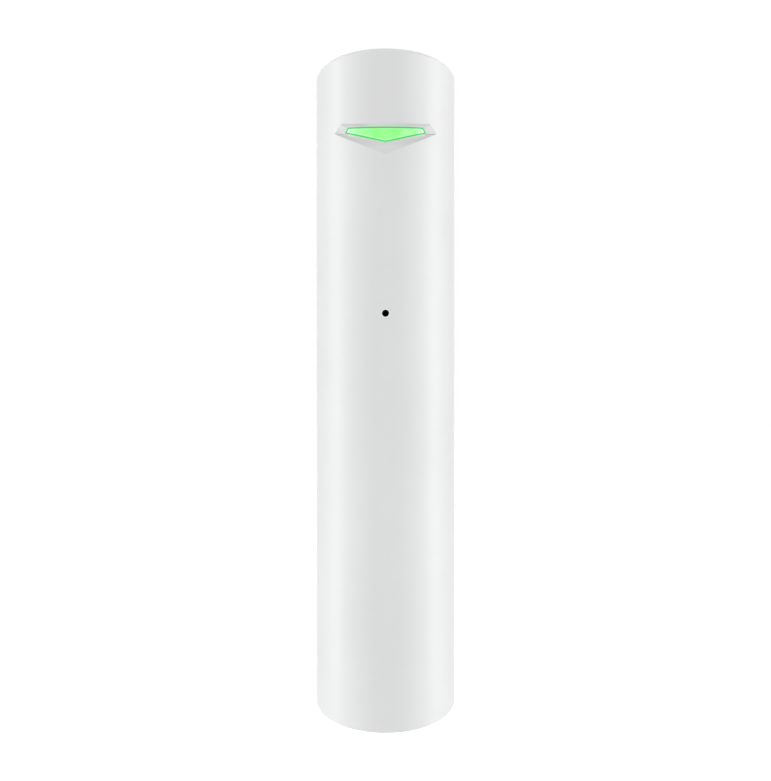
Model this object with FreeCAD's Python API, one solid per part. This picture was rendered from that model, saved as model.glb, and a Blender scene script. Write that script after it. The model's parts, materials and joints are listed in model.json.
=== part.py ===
import FreeCAD, Part
import math
import os

V = FreeCAD.Vector

# Millimetres. Z is up, the front looks along -Y, and Y = 0 is the wall.
# Z = 0 is the middle of the height, and X = 0 is the middle of the width.

# Housing
tube_radius = 10.0
height = 90.0
axis_y = -11.0
wall = 1.2
end_wall = 1.5
end_rounding = 0.6
rounding_flats = 2
back_y = -0.2
back_corner = 4.0
cavity_back_y = -2.55
cavity_corner = 1.6
seam_y = -8.0
seam_groove_depth = 0.2
seam_groove_half = 0.12

half_height = height / 2
cavity_radius = tube_radius - wall
cavity_half = half_height - end_wall

# How far an added rib is sunk into its wall, and how far a cutter runs past a face
sunk = 0.2
past = 1.0
far = 60.0

# Recess in the back for the bracket
recess_half_width = 7.0
recess_floor_y = -1.55
recess_low = -41.7
recess_high = 38.2
recess_corner = 2.2

# Lip that locates the cover on the rear housing
lip_gap = 0.05
lip_thickness = 0.5
lip_reach = 1.0
lip_root = 1.4
lip_half_length = 41.0
catch_heights = (-34.0, -12.0, 12.0, 30.0)
catch_half_length = 2.5
catch_height = 0.25
catch_low_y = -8.75
catch_high_y = -8.25
catch_gap = 0.05

# Indicator: outlines as x and z of the corners of the right half
lens_radius = 9.0
lens_top_middle = 34.95
lens_top_corner = (5.06, 35.41)
lens_side_corner = (5.51, 34.75)
lens_apex = 32.88
pocket_top_middle = 34.97
pocket_top_corner = (5.93, 35.65)
pocket_side_corner = (6.89, 34.62)
pocket_apex = 30.88
pocket_reach = 1.6
edge_fall = 0.36
outline_points = 9
pad_radius = 7.8
pad_half_width = 7.2
pad_low = 29.6
pad_high = 37.0
lens_flange_inner = 6.9
lens_flange_half_width = 6.3
lens_flange_low = 31.9
lens_flange_high = 36.3
lens_face_depth = 2.6
guide_front_y = axis_y - 5.9
guide_back_y = axis_y - 2.7
guide_front_half_width = 4.6
guide_back_half_width = 1.6
guide_half_height = 0.8
guide_z = 34.0

# Microphone
mic_z = 10.15
mic_hole_radius = 0.42
mic_rim = 0.04
mic_seat_y = axis_y - 8.3
mic_boss_radius = 4.8
mic_boss_bore = 4.05
mic_boss_back_y = axis_y - 5.0
mesh_radius = 1.8
mesh_thickness = 0.15
boot_radius = 4.0
boot_wall = 0.5
boot_back_y = axis_y - 4.7
boot_hole_radius = 1.0
capsule_radius = 3.0
capsule_length = 2.7
capsule_inlet_radius = 0.7
capsule_inlet_depth = 0.4
lead_pitch = 2.54
lead_radius = 0.22

# Circuit board
board_front_y = axis_y - 1.5
board_back_y = axis_y - 0.5
board_half_width = 7.8
board_low = -3.5
board_high = 42.5
board_corner = 1.0
board_screws = ((-6.2, 0.5), (6.0, 38.7))
screw_shank_radius = 0.78
screw_head_radius = 1.5
screw_head_height = 0.9
screw_length = 6.0
screw_boss_radius = 1.75
screw_hole_gap = 0.25
thread_gap = 0.02
thread_spare = 0.5

# Parts on the board: width, length and rise, then the cut of the upright corners
led_base = (3.2, 1.6, 0.45, 0.1)
led_dome = (2.0, 1.3, 0.8, 0.3)
controller_z = 25.0
controller_size = (5.0, 5.0, 0.85, 0.15)
crystal_z = 19.6
crystal_size = (3.2, 1.5, 0.8, 0.3)
chip_columns = (-5.6, -3.6, 3.6, 5.6)
chip_rows = 3
chip_low = 19.0
chip_pitch = 2.2
chip_stagger = 0.4
chip_size = (0.8, 1.6, 0.6, 0)
shield_half_width = 6.0
shield_low = 29.5
shield_high = 36.2
shield_rise = 2.0
shield_corner = 0.6
shield_edge = 0.25

# Antenna: a blade held off the board by a foot at its low end
antenna_x = -7.0
antenna_thickness = 0.3
antenna_rise = 2.8
antenna_width = 1.1
antenna_low = 2.0
antenna_high = 28.5

# Battery cell and its contacts
cell_radius = 8.4
cell_y = axis_y - 0.1
cell_low = -40.3
cell_high = -7.1
cell_nub_radius = 3.2
cell_nub_height = 1.0
cell_edge = 0.6
bulkhead_low = -5.4
bulkhead_high = -4.2
bulkhead_gap = 0.35
bulkhead_slot_gap = 0.15
contact_thickness = 0.3
contact_half_width = 3.5
contact_half_depth = 2.8
contact_tail_half_width = 1.5
contact_top = board_low + 2.6
dimple_tip_radius = 0.8
dimple_root_radius = 1.6
leaf_half_width = 2.0
strip_outer_x = 8.15
strip_low_y = -6.8
strip_high_y = -4.8
strip_foot_width = 1.2
strip_foot_low = board_low + 0.8

# Power button and tamper plunger, both pressed from behind
power_z = 17.0
power_radius = 2.2
power_face_y = -1.85
tamper_z = 24.6
tamper_radius = 1.25
tamper_face_y = -1.55
plunger_gap = 0.06
plunger_play = 0.05
plunger_edge = 0.25
plunger_flange = 0.9
plunger_flange_thickness = 0.8
plunger_neck_radius = 1.0
switch_half = 2.6
switch_height = 1.9
switch_stem_radius = 0.9
switch_stem_height = 0.8
switch_stem_depth = 0.5
switch_floor = 0.6
switch_corner = 0.4

# Two-pole terminal
terminal_half_width = 3.5
terminal_low = 3.0
terminal_high = 10.5
terminal_back_y = -4.0
terminal_pitch = 3.5
terminal_screw_z = 7.6
terminal_screw_radius = 1.3
terminal_screw_gap = 0.08
terminal_screw_sunk = 0.5
terminal_slot_half = 0.22
terminal_slot_depth = 0.5
terminal_edge = 0.6
terminal_entry_radius = 1.1
terminal_entry_y = -8.6
terminal_end_wall = 1.0
cage_half_width = 1.2
cage_front_y = terminal_entry_y - 1.35
cage_back_y = terminal_entry_y + 1.1
cage_wall = 0.3
cage_gap = 0.05
window_half_width = 4.2
window_low = -2.0
window_high = 11.0
window_corner = 0.8

# Wall bracket
bracket_half_width = 6.8
bracket_low = -36.5
bracket_high = 38.0
bracket_thickness = 1.5
bracket_corner = 2.0
bracket_window_margin = 0.5
lightening_half_width = 2.6
lightening_low = -15.0
lightening_high = -6.0
lightening_corner = 1.2
screw_holes = (-20.0, 30.0)
screw_hole_radius = 1.7
countersink_radius = 3.1
tab_half_width = 4.2
tab_low = 22.0
tab_high = 34.5
tab_slot = 0.7
tab_corner = 1.0
tab_bridge_half = 0.6
button_window_radius = 3.4
hook_heights = (-30.0, 15.0)
hook_x = 6.0
hook_half_width = 0.75
hook_neck_half = 1.0
hook_flange_length = 3.0
hook_flange_thickness = 1.2
hook_lead_in = 0.4
hook_gap = 0.05
hook_side_gap = 0.15
slot_end_gap = 0.1
release_travel = 5.0


def box(x0, x1, y0, y1, z0, z1):
    return Part.makeBox(x1 - x0, y1 - y0, z1 - z0, V(x0, y0, z0))


def rod(x, z, radius, y0, y1):
    return Part.makeCylinder(radius, y1 - y0, V(x, y0, z), V(0, 1, 0))


def post(x, y, radius, z0, z1):
    return Part.makeCylinder(radius, z1 - z0, V(x, y, z0))


def joined(shapes):
    first, *others = shapes
    return first.fuse(others).removeSplitter() if others else first


def rounded_slab(half_width, z0, z1, corner, y0, y1):
    block = box(-half_width, half_width, y0, y1, z0, z1)
    corners = [e for e in block.Edges if e.BoundBox.YLength > (y1 - y0) - 1e-6]
    return block.makeFillet(corner, corners)


def tube_block(inset, rear_y, corner, z0, z1):
    # Half-round front, straight sides and a flat back with round corners
    r = tube_radius - inset
    bend = corner * math.sqrt(0.5)
    side_end = rear_y - corner
    flat_end = r - corner
    middle = (flat_end + bend, side_end + bend)
    edges = [
        Part.Arc(V(-r, axis_y, z0), V(0, axis_y - r, z0), V(r, axis_y, z0)),
        Part.LineSegment(V(r, axis_y, z0), V(r, side_end, z0)),
        Part.Arc(V(r, side_end, z0), V(middle[0], middle[1], z0), V(flat_end, rear_y, z0)),
        Part.LineSegment(V(flat_end, rear_y, z0), V(-flat_end, rear_y, z0)),
        Part.Arc(V(-flat_end, rear_y, z0), V(-middle[0], middle[1], z0), V(-r, side_end, z0)),
        Part.LineSegment(V(-r, side_end, z0), V(-r, axis_y, z0)),
    ]
    outline = Part.Wire([e.toShape() for e in edges])
    return Part.Face(outline).extrude(V(0, 0, z1 - z0))


def flat_edges(shape):
    return [e for e in shape.Edges if e.BoundBox.ZLength < 1e-6]


def rounded_ends(block):
    # Each cut halves the turn that is left, along planes that touch the rounding
    turn = math.pi / 2
    reach = end_rounding * math.tan(turn / 2)
    for _ in range(rounding_flats):
        turn /= 2
        rest = end_rounding * math.tan(turn / 2)
        block = block.makeChamfer(reach - rest, flat_edges(block))
        reach = rest
    return block


def housing_shell():
    # The whole housing before it is parted at the seam
    outer = rounded_ends(tube_block(0, back_y, back_corner, -half_height, half_height))
    cavity = tube_block(wall, cavity_back_y, cavity_corner, -cavity_half, cavity_half)
    return outer.cut(cavity)


def seam_groove():
    # A fine shadow line all round where the cover meets the rear housing
    band = box(-far, far, seam_y - seam_groove_half, seam_y + seam_groove_half, -far, far)
    core_end = half_height - seam_groove_depth
    core = tube_block(seam_groove_depth, back_y, back_corner, -core_end, core_end)
    return band.cut(core)


def on_tube(x, z, radius):
    return V(x, axis_y - math.sqrt(radius ** 2 - x ** 2), z)


def along(end):
    return [end * i / (outline_points - 1) for i in range(outline_points)]


def top_line(middle_z, corner, radius):
    # The top edge dips towards the middle as a parabola
    bow = (corner[1] - middle_z) / corner[0] ** 2
    return [on_tube(x, middle_z + bow * x * x, radius) for x in along(corner[0])]


def bottom_line(apex_z, corner, radius):
    # Each lower edge lies in a plane that falls towards the front
    def depth(x):
        return radius - math.sqrt(radius ** 2 - x ** 2)

    slope = (corner[1] - apex_z - edge_fall * depth(corner[0])) / corner[0]
    return [on_tube(x, apex_z + slope * x + edge_fall * depth(x), radius) for x in along(corner[0])]


def carried_on(inner, outer, reach):
    # Each point moves along the line from the inner outline through the outer one
    return [a + (b - a) * reach for a, b in zip(inner, outer)]


def curve(points):
    spline = Part.BSplineCurve()
    spline.interpolate(points)
    return spline.toShape()


def line(a, b):
    return Part.LineSegment(a, b).toShape()


def six_sided(top_in, bottom_in, top_out, bottom_out):
    # A solid whose six faces are ruled between its curved edges
    def ruled(a, b):
        return Part.makeRuledSurface(a, b)

    inner = [curve(top_in), curve(bottom_in)]
    outer = [curve(top_out), curve(bottom_out)]
    faces = [ruled(*inner), ruled(*outer)]
    faces += [ruled(a, b) for a, b in zip(inner, outer)]
    for end in (0, -1):
        inner_line = line(top_in[end], bottom_in[end])
        outer_line = line(top_out[end], bottom_out[end])
        faces.append(ruled(inner_line, outer_line))
    shell = Part.makeShell(faces)
    shell.sewShape()
    solid = Part.makeSolid(shell)
    if solid.Volume < 0:
        solid.reverse()
    return solid


def both_halves(half):
    mirrored = half.mirror(V(0, 0, 0), V(1, 0, 0))
    return [half, mirrored]


def pocket_cutters():
    # Bevelled pocket: its walls run from the lens outline out through the tube
    top_in = top_line(lens_top_middle, lens_top_corner, lens_radius)
    bottom_in = bottom_line(lens_apex, lens_side_corner, lens_radius)
    top_out = top_line(pocket_top_middle, pocket_top_corner, tube_radius)
    bottom_out = bottom_line(pocket_apex, pocket_side_corner, tube_radius)
    half = six_sided(
        top_in, bottom_in,
        carried_on(top_in, top_out, pocket_reach),
        carried_on(bottom_in, bottom_out, pocket_reach),
    )
    return both_halves(half)


def lens_prism(y0, y1):
    # The lens outline carried straight back
    def flattened(points, side):
        return [V(side * p.x, y0, p.z) for p in points]

    top = top_line(lens_top_middle, lens_top_corner, lens_radius)
    bottom = bottom_line(lens_apex, lens_side_corner, lens_radius)
    edges = [curve(flattened(top[:0:-1], -1) + flattened(top, 1))]
    for side in (-1, 1):
        edges.append(curve(flattened(bottom, side)))
        edges.append(line(*flattened((top[-1], bottom[-1]), side)))
    outline = Part.Wire(Part.__sortEdges__(edges))
    return Part.Face(outline).extrude(V(0, y1 - y0, 0))


def tube_rod(radius):
    return post(0, axis_y, radius, -half_height, half_height)


def front_cover(shell):
    front = shell.common(box(-far, far, -far, seam_y, -far, far))
    inside = tube_rod(cavity_radius + sunk)
    pad = box(-pad_half_width, pad_half_width, -far, axis_y, pad_low, pad_high)
    pad = pad.common(inside).cut(tube_rod(pad_radius))
    boss = rod(0, mic_z, mic_boss_radius, -far, mic_boss_back_y).common(inside)
    cover = joined([front, pad, boss])
    cuts = [
        rod(0, mic_z, mic_boss_bore, mic_seat_y, mic_boss_back_y + past),
        rod(0, mic_z, mic_hole_radius, -far, mic_seat_y + past),
        mic_countersink(),
        lens_prism(-far, axis_y - pad_radius / 2),
        seam_groove(),
    ]
    cover = cover.cut(cuts + pocket_cutters())
    return cover.cut(catch_boxes(catch_height + catch_gap, catch_gap)).removeSplitter()


def mic_countersink():
    # Breaks the sharp edge of the pinhole
    return Part.makeCone(mic_hole_radius + 2 * mic_rim, mic_hole_radius, 2 * mic_rim,
                         V(0, axis_y - tube_radius - mic_rim, mic_z), V(0, 1, 0))


def catch_boxes(reach, margin):
    # Snap catches stand on the outside of the lip, two rows of them
    inner_x = cavity_radius - lip_gap - lip_thickness / 2
    outer_x = cavity_radius - lip_gap + reach
    low_y = catch_low_y - margin
    high_y = catch_high_y + margin
    boxes = []
    for z in catch_heights:
        low_z = z - catch_half_length - margin
        high_z = z + catch_half_length + margin
        boxes.append(box(inner_x, outer_x, low_y, high_y, low_z, high_z))
        boxes.append(box(-outer_x, -inner_x, low_y, high_y, low_z, high_z))
    return boxes


def lips():
    outer_x = cavity_radius - lip_gap
    inner_x = outer_x - lip_thickness
    root_x = cavity_radius + sunk
    half = lip_half_length
    rails = [
        box(inner_x, outer_x, seam_y - lip_reach, seam_y + sunk, -half, half),
        box(inner_x, root_x, seam_y, seam_y + lip_root, -half, half),
    ]
    return rails + [r.mirror(V(0, 0, 0), V(1, 0, 0)) for r in rails]


def bulkhead():
    # Floor between the battery bay and the board, with a slot for each contact strip
    low, high = bulkhead_low, bulkhead_high
    free = tube_block(wall + bulkhead_gap, cavity_back_y, cavity_corner, low, high)
    rear = tube_block(wall - sunk, cavity_back_y + sunk, cavity_corner, low, high)
    rear = rear.common(box(-far, far, seam_y + lip_root, far, low, high))
    gap = bulkhead_slot_gap
    strip_slot = box(strip_outer_x - contact_thickness - gap, strip_outer_x + gap,
                     strip_low_y - gap, strip_high_y + gap, low - past, high + past)
    tail_half = contact_tail_half_width + gap
    tail_slot = box(-tail_half, tail_half, board_front_y - contact_thickness - gap,
                    board_front_y + gap, low - past, high + past)
    return joined([free, rear]).cut([strip_slot, tail_slot])


def screw_bosses():
    return [rod(x, z, screw_boss_radius, board_back_y, cavity_back_y + sunk) for x, z in board_screws]


def boss_holes():
    end_y = board_front_y + screw_length + thread_spare
    radius = screw_shank_radius + thread_gap
    return [rod(x, z, radius, board_front_y, end_y) for x, z in board_screws]


def hook_slots():
    # Keyhole slots: the flange goes in low and the neck rides up to the top end
    half = hook_half_width + hook_side_gap
    slots = []
    for z in hook_heights:
        low = z - hook_neck_half - release_travel - slot_end_gap
        high = z + hook_neck_half + slot_end_gap
        for x in (-hook_x, hook_x):
            slots.append(box(x - half, x + half, cavity_back_y - past, recess_floor_y + past, low, high))
    return slots


def rear_housing(shell):
    back = shell.common(box(-far, far, seam_y, far, -far, far))
    catches = catch_boxes(catch_height, 0)
    body = joined([back] + lips() + catches + screw_bosses() + [bulkhead()])
    inside_y = cavity_back_y - past
    outside_y = recess_floor_y + past
    cuts = [
        rounded_slab(recess_half_width, recess_low, recess_high, recess_corner, recess_floor_y, past),
        rounded_slab(window_half_width, window_low, window_high, window_corner, inside_y, outside_y),
        rod(0, power_z, power_radius + plunger_gap, inside_y, outside_y),
        rod(0, tamper_z, tamper_radius + plunger_gap, inside_y, outside_y),
        seam_groove(),
    ]
    return body.cut(cuts + hook_slots() + boss_holes()).removeSplitter()


def hook(x, z):
    # The flange lies behind the rear wall and its tip is cut to a lead-in
    neck_y = cavity_back_y - hook_gap
    low = z - hook_neck_half
    neck_high = z + hook_neck_half
    tip = neck_high + hook_flange_length
    sides = (x - hook_half_width, x + hook_half_width)
    neck = box(*sides, neck_y - hook_flange_thickness, sunk - bracket_thickness, low, neck_high)
    flange = box(*sides, neck_y - hook_flange_thickness, neck_y, low, tip)
    lead_in = [e for e in flange.Edges if e.BoundBox.ZMin > tip - 1e-6
               and e.BoundBox.XLength > hook_half_width and e.BoundBox.YMin > neck_y - 1e-6]
    return joined([neck, flange.makeChamfer(hook_lead_in, lead_in)])


def tab_slots():
    # Slots that leave a break-away tab held by thin bridges
    y0, y1 = -bracket_thickness - past, past
    ring = rounded_slab(tab_half_width + tab_slot, tab_low - tab_slot, tab_high + tab_slot,
                        tab_corner + tab_slot, y0, y1)
    ring = ring.cut(rounded_slab(tab_half_width, tab_low, tab_high, tab_corner, y0, y1))
    middle = (tab_low + tab_high) / 2
    half = tab_bridge_half
    side_bridges = box(-far, far, y0, y1, middle - half, middle + half)
    low_bridge = box(-half, half, y0, y1, tab_low - tab_slot - past, tab_low + past)
    return ring.cut([side_bridges, low_bridge])


def screw_hole(z):
    depth = countersink_radius - screw_hole_radius
    sink = Part.makeCone(countersink_radius, screw_hole_radius, depth,
                         V(0, -bracket_thickness, z), V(0, 1, 0))
    return [rod(0, z, screw_hole_radius, -bracket_thickness, past), sink]


def mounting_bracket():
    plate = rounded_slab(bracket_half_width, bracket_low, bracket_high, bracket_corner,
                         -bracket_thickness, 0)
    y0, y1 = -bracket_thickness - past, past
    margin = bracket_window_margin
    cuts = [
        rounded_slab(window_half_width + margin, window_low - margin, window_high + margin,
                     window_corner, y0, y1),
        rounded_slab(lightening_half_width, lightening_low, lightening_high, lightening_corner, y0, y1),
        rod(0, power_z, button_window_radius, y0, y1),
        tab_slots(),
    ]
    for z in screw_holes:
        cuts += screw_hole(z)
    hooks = [hook(x, z) for z in hook_heights for x in (-hook_x, hook_x)]
    return joined([plate.cut(cuts)] + hooks)


def indicator_lens():
    # Flush face on the pocket floor, a flange behind the wall and a tapering light guide
    face = lens_prism(-far, axis_y - lens_radius + lens_face_depth).common(tube_rod(lens_radius))
    flange = box(-lens_flange_half_width, lens_flange_half_width, -far, axis_y,
                 lens_flange_low, lens_flange_high)
    flange = flange.common(tube_rod(pad_radius)).cut(tube_rod(lens_flange_inner))
    return joined([face, flange, light_guide()])


def light_guide():
    # A straight root behind the flange, then a taper that narrows to the light source
    half_height = guide_half_height
    root = box(-guide_front_half_width, guide_front_half_width, axis_y - lens_radius, guide_front_y,
               guide_z - half_height, guide_z + half_height).common(tube_rod(pad_radius))
    low, high = guide_z - half_height, guide_z + half_height
    taper = Part.makeWedge(
        -guide_front_half_width, guide_front_y, low, low, -guide_back_half_width,
        guide_front_half_width, guide_back_y, high, high, guide_back_half_width,
    )
    return joined([taper, root])


def acoustic_mesh():
    return rod(0, mic_z, mesh_radius, mic_seat_y, mic_seat_y + mesh_thickness)


def microphone_boot():
    front_y = mic_seat_y + mesh_thickness
    body = rod(0, mic_z, boot_radius, front_y, boot_back_y)
    pocket = rod(0, mic_z, capsule_radius, front_y + boot_wall, boot_back_y + past)
    opening = rod(0, mic_z, boot_hole_radius, front_y - past, front_y + past)
    return body.cut([pocket, opening])


def capsule_front_y():
    return mic_seat_y + mesh_thickness + boot_wall


def microphone_capsule():
    # A can with a sound inlet
    front_y = capsule_front_y()
    can = rod(0, mic_z, capsule_radius, front_y, front_y + capsule_length)
    inlet = rod(0, mic_z, capsule_inlet_radius, front_y - past, front_y + capsule_inlet_depth)
    return can.cut(inlet)


def microphone_leads():
    # From the base of the capsule to pads on the board
    start = capsule_front_y() + capsule_length
    half_pitch = lead_pitch / 2
    return Part.makeCompound([rod(x, mic_z, lead_radius, start, board_front_y)
                              for x in (-half_pitch, half_pitch)])


def circuit_board():
    board = rounded_slab(board_half_width, board_low, board_high, board_corner,
                         board_front_y, board_back_y)
    radius = screw_shank_radius + screw_hole_gap
    return board.cut([rod(x, z, radius, board_front_y - past, board_back_y + past)
                      for x, z in board_screws])


def board_screw(x, z):
    shank = rod(x, z, screw_shank_radius, board_front_y - sunk, board_front_y + screw_length)
    head = rod(x, z, screw_head_radius, board_front_y - screw_head_height, board_front_y)
    return joined([head, shank])


def front_part(x, z, size):
    # A component on the front of the board
    width, length, rise, corner = size
    block = box(x - width / 2, x + width / 2, board_front_y - rise, board_front_y,
                z - length / 2, z + length / 2)
    upright = [e for e in block.Edges if e.BoundBox.YLength > rise - 1e-6]
    return block.makeChamfer(corner, upright) if corner else block


def status_led():
    return joined([front_part(0, guide_z, led_base), front_part(0, guide_z, led_dome)])


def chip_components():
    # Rows of small passive parts, each column a little higher than the last
    parts = []
    for column, x in enumerate(chip_columns):
        for row in range(chip_rows):
            z = chip_low + chip_pitch * row + chip_stagger * column
            parts.append(front_part(x, z, chip_size))
    return Part.makeCompound(parts)


def radio_shield():
    # A drawn can on the back of the board
    top_y = board_back_y + shield_rise
    can = box(-shield_half_width, shield_half_width, board_back_y, top_y, shield_low, shield_high)
    upright = [e for e in can.Edges if e.BoundBox.YLength > shield_rise - 1e-6]
    can = can.makeChamfer(shield_corner, upright)
    rim = [e for e in can.Edges if e.BoundBox.YMin > top_y - 1e-6]
    return can.makeChamfer(shield_edge, rim)


def antenna_strip():
    # A folded strip that stands on the left edge of the board
    left, right = antenna_x - antenna_thickness, antenna_x
    top_y = board_front_y - antenna_rise
    blade = box(left, right, top_y, top_y + antenna_width, antenna_low, antenna_high)
    foot = box(left, right, top_y, board_front_y, antenna_low, antenna_low + antenna_width)
    return joined([blade, foot])


def battery_cell():
    can = post(0, cell_y, cell_radius, cell_low, cell_high)
    can = can.makeChamfer(cell_edge, flat_edges(can))
    nub = post(0, cell_y, cell_nub_radius, cell_high - sunk, cell_high + cell_nub_height)
    return joined([can, nub])


def battery_contact_positive():
    # A plate under the bulkhead, pressed down to a dimple over the nub, with a tail to the board
    low = bulkhead_low - contact_thickness
    nub_top = cell_high + cell_nub_height
    plate = box(-contact_half_width, contact_half_width, board_front_y - contact_thickness,
                cell_y + contact_half_width, low, bulkhead_low)
    dimple = Part.makeCone(dimple_tip_radius, dimple_root_radius, low + sunk - nub_top,
                           V(0, cell_y, nub_top))
    half = contact_tail_half_width
    tail = box(-half, half, board_front_y - contact_thickness, board_front_y, low, contact_top)
    return joined([plate, dimple, tail])


def leaf_blade(low_y, high_y, low_z, high_z):
    corners = [V(-leaf_half_width, y, z) for y, z in (
        (low_y, low_z), (high_y, high_z),
        (high_y, high_z + contact_thickness), (low_y, low_z + contact_thickness),
    )]
    blade = Part.Face(Part.makePolygon(corners + corners[:1]))
    return blade.extrude(V(2 * leaf_half_width, 0, 0))


def battery_contact_negative():
    # Base plate with a leaf raised from it that presses on the cell
    base_z = contact_thickness - cavity_half
    base = box(-contact_half_width, strip_outer_x, cell_y - contact_half_depth, strip_high_y,
               -cavity_half, base_z)
    crest = cell_low - contact_thickness
    end = base_z + (cell_low - base_z) / 3
    rising = leaf_blade(cell_y - contact_half_depth, cell_y, base_z - sunk, crest)
    falling = leaf_blade(cell_y, cell_y + contact_half_depth, crest, end)
    return joined([base, rising, falling])


def battery_return_strip():
    # Carries the lower contact up beside the cell to the board
    x0, x1 = strip_outer_x - contact_thickness, strip_outer_x
    upright = box(x0, x1, strip_low_y, strip_high_y, contact_thickness - cavity_half, contact_top)
    arm = box(x0, x1, board_back_y, strip_high_y, strip_foot_low, contact_top)
    foot = box(board_half_width - strip_foot_width, x1, board_back_y, board_back_y + contact_thickness,
               strip_foot_low, contact_top)
    return joined([upright, arm, foot])


def plunger(z, radius, face_y):
    # A pusher that runs in the rear wall, kept in by a flange inside it
    stop_y = cavity_back_y - plunger_play
    low_y = stop_y - plunger_flange_thickness
    head = rod(0, z, radius, low_y, face_y)
    rim = [e for e in head.Edges if e.BoundBox.YMin > face_y - 1e-6]
    head = head.makeChamfer(plunger_edge, rim)
    flange = rod(0, z, radius + plunger_flange, low_y, stop_y)
    shaft = rod(0, z, plunger_neck_radius, switch_top_y() + switch_stem_height, low_y + sunk)
    return joined([head, flange, shaft])


def switch_top_y():
    return board_back_y + switch_height


def switch_body(z):
    top = switch_top_y()
    case = box(-switch_half, switch_half, board_back_y, top, z - switch_half, z + switch_half)
    corners = [e for e in case.Edges if e.BoundBox.YLength > switch_height - 1e-6]
    case = case.makeChamfer(switch_corner, corners)
    return case.cut(rod(0, z, switch_stem_radius + plunger_gap, board_back_y + switch_floor, top + past))


def switch_stem(z):
    top = switch_top_y()
    return rod(0, z, switch_stem_radius, top - switch_stem_depth, top + switch_stem_height)


def terminal_housing():
    # Two chambers for the clamps, each with a wire entry below and a screw well behind
    block = box(-terminal_half_width, terminal_half_width, board_back_y, terminal_back_y,
                terminal_low, terminal_high)
    rim = [e for e in block.Edges if e.BoundBox.XLength > terminal_half_width
           and e.BoundBox.YMin > terminal_back_y - 1e-6]
    block = block.makeChamfer(terminal_edge, rim)
    well = terminal_screw_radius + terminal_screw_gap
    half_width = cage_half_width + cage_gap
    chamber_low = terminal_low + terminal_end_wall - cage_gap
    chamber_high = terminal_high - terminal_end_wall + cage_gap
    chamber_back_y = cage_back_y + terminal_slot_depth
    cuts = []
    for x in (-terminal_pitch / 2, terminal_pitch / 2):
        cuts.append(rod(x, terminal_screw_z, well, terminal_entry_y, far))
        cuts.append(box(x - half_width, x + half_width, cage_front_y - cage_gap, chamber_back_y,
                        chamber_low, chamber_high))
        cuts.append(post(x, terminal_entry_y, terminal_entry_radius, terminal_low - past,
                         terminal_low + past))
    return block.cut(cuts)


def terminal_screw(x):
    # Headless and slotted, it reaches from the well's mouth to the clamp
    head_y = terminal_back_y - terminal_screw_sunk
    screw = rod(x, terminal_screw_z, terminal_screw_radius, cage_back_y + cage_gap, head_y)
    slot = box(-far, far, head_y - terminal_slot_depth, far,
               terminal_screw_z - terminal_slot_half, terminal_screw_z + terminal_slot_half)
    return screw.cut(slot)


def terminal_clamp(x):
    # A square cage open towards the wire
    low, high = terminal_low + terminal_end_wall, terminal_high - terminal_end_wall
    cage = box(x - cage_half_width, x + cage_half_width, cage_front_y, cage_back_y, low, high)
    inner = cage_half_width - cage_wall
    return cage.cut(box(x - inner, x + inner, cage_front_y + cage_wall, cage_back_y - cage_wall,
                        low - past, high + past))


def build_all():
    shell = housing_shell()
    half_pitch = terminal_pitch / 2
    return {
        "front_cover": front_cover(shell),
        "rear_housing": rear_housing(shell),
        "mounting_bracket": mounting_bracket(),
        "indicator_lens": indicator_lens(),
        "acoustic_mesh": acoustic_mesh(),
        "microphone_boot": microphone_boot(),
        "microphone_capsule": microphone_capsule(),
        "microphone_leads": microphone_leads(),
        "circuit_board": circuit_board(),
        "board_screws": Part.makeCompound([board_screw(x, z) for x, z in board_screws]),
        "status_led": status_led(),
        "microcontroller": front_part(0, controller_z, controller_size),
        "crystal": front_part(0, crystal_z, crystal_size),
        "chip_components": chip_components(),
        "radio_shield": radio_shield(),
        "antenna_strip": antenna_strip(),
        "battery_cell": battery_cell(),
        "battery_contact_positive": battery_contact_positive(),
        "battery_contact_negative": battery_contact_negative(),
        "battery_return_strip": battery_return_strip(),
        "power_button": plunger(power_z, power_radius, power_face_y),
        "power_switch_body": switch_body(power_z),
        "power_switch_stem": switch_stem(power_z),
        "tamper_plunger": plunger(tamper_z, tamper_radius, tamper_face_y),
        "tamper_switch_body": switch_body(tamper_z),
        "tamper_switch_stem": switch_stem(tamper_z),
        "terminal_housing": terminal_housing(),
        "terminal_screw_left": terminal_screw(-half_pitch),
        "terminal_screw_right": terminal_screw(half_pitch),
        "terminal_clamp_left": terminal_clamp(-half_pitch),
        "terminal_clamp_right": terminal_clamp(half_pitch),
    }


os.makedirs("parts", exist_ok=True)
for name, shape in build_all().items():
    shape.exportStep("parts/" + name + ".step")
    print(name, len(shape.Solids), shape.isValid(), round(shape.Volume, 2))
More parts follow.
